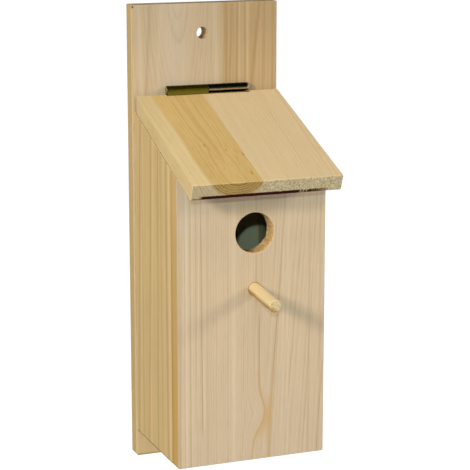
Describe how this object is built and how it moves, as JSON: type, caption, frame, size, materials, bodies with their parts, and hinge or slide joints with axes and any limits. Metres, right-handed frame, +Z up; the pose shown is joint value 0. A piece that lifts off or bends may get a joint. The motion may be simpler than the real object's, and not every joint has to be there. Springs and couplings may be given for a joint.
{
  "type": "nest box",
  "caption": "Wooden nest box on a tall back board, with a round entrance, a perch and a sloping roof hinged at the board.",
  "frame": {"origin": "centre of the hanging hole, on the back face of the back board", "axes": "+Z up, the entrance and the perch face -Y, +X to the right as seen from the front"},
  "size_m": [0.124, 0.1582, 0.374],
  "materials": {
    "board_wood": "planed and sanded raw softwood",
    "front_wood": "planed and sanded raw softwood",
    "side_wood": "planed and sanded raw softwood",
    "floor_wood": "planed raw softwood",
    "roof_gold_wood": "planed and sanded raw softwood with golden heartwood",
    "roof_pale_wood": "planed and sanded raw softwood",
    "dowel_wood": "smooth turned dowel",
    "hinge_metal": "brassed steel, dark olive",
    "screw_metal": "yellow passivated steel"
  },
  "bodies": {
    "box": {"back_board": "board_wood", "left_side": "side_wood", "right_side": "side_wood", "front_panel": "front_wood", "floor_panel": "floor_wood", "perch": "dowel_wood", "hinge_board_leaf": "hinge_metal", "hinge_pin": "hinge_metal", "hinge_board_screws": "screw_metal", "back_screws": "screw_metal"},
    "roof": {"roof_left_board": "roof_gold_wood", "roof_right_board": "roof_pale_wood", "hinge_roof_leaf": "hinge_metal", "hinge_roof_screws": "screw_metal"}
  },
  "joints": [
    {"name": "roof_lid", "type": "hinge", "parent": "box", "child": "roof", "pos_m": [0.003, -0.01825, -0.04425], "axis": [-1, 0, 0], "range_deg": [0, 110]}
  ]
}
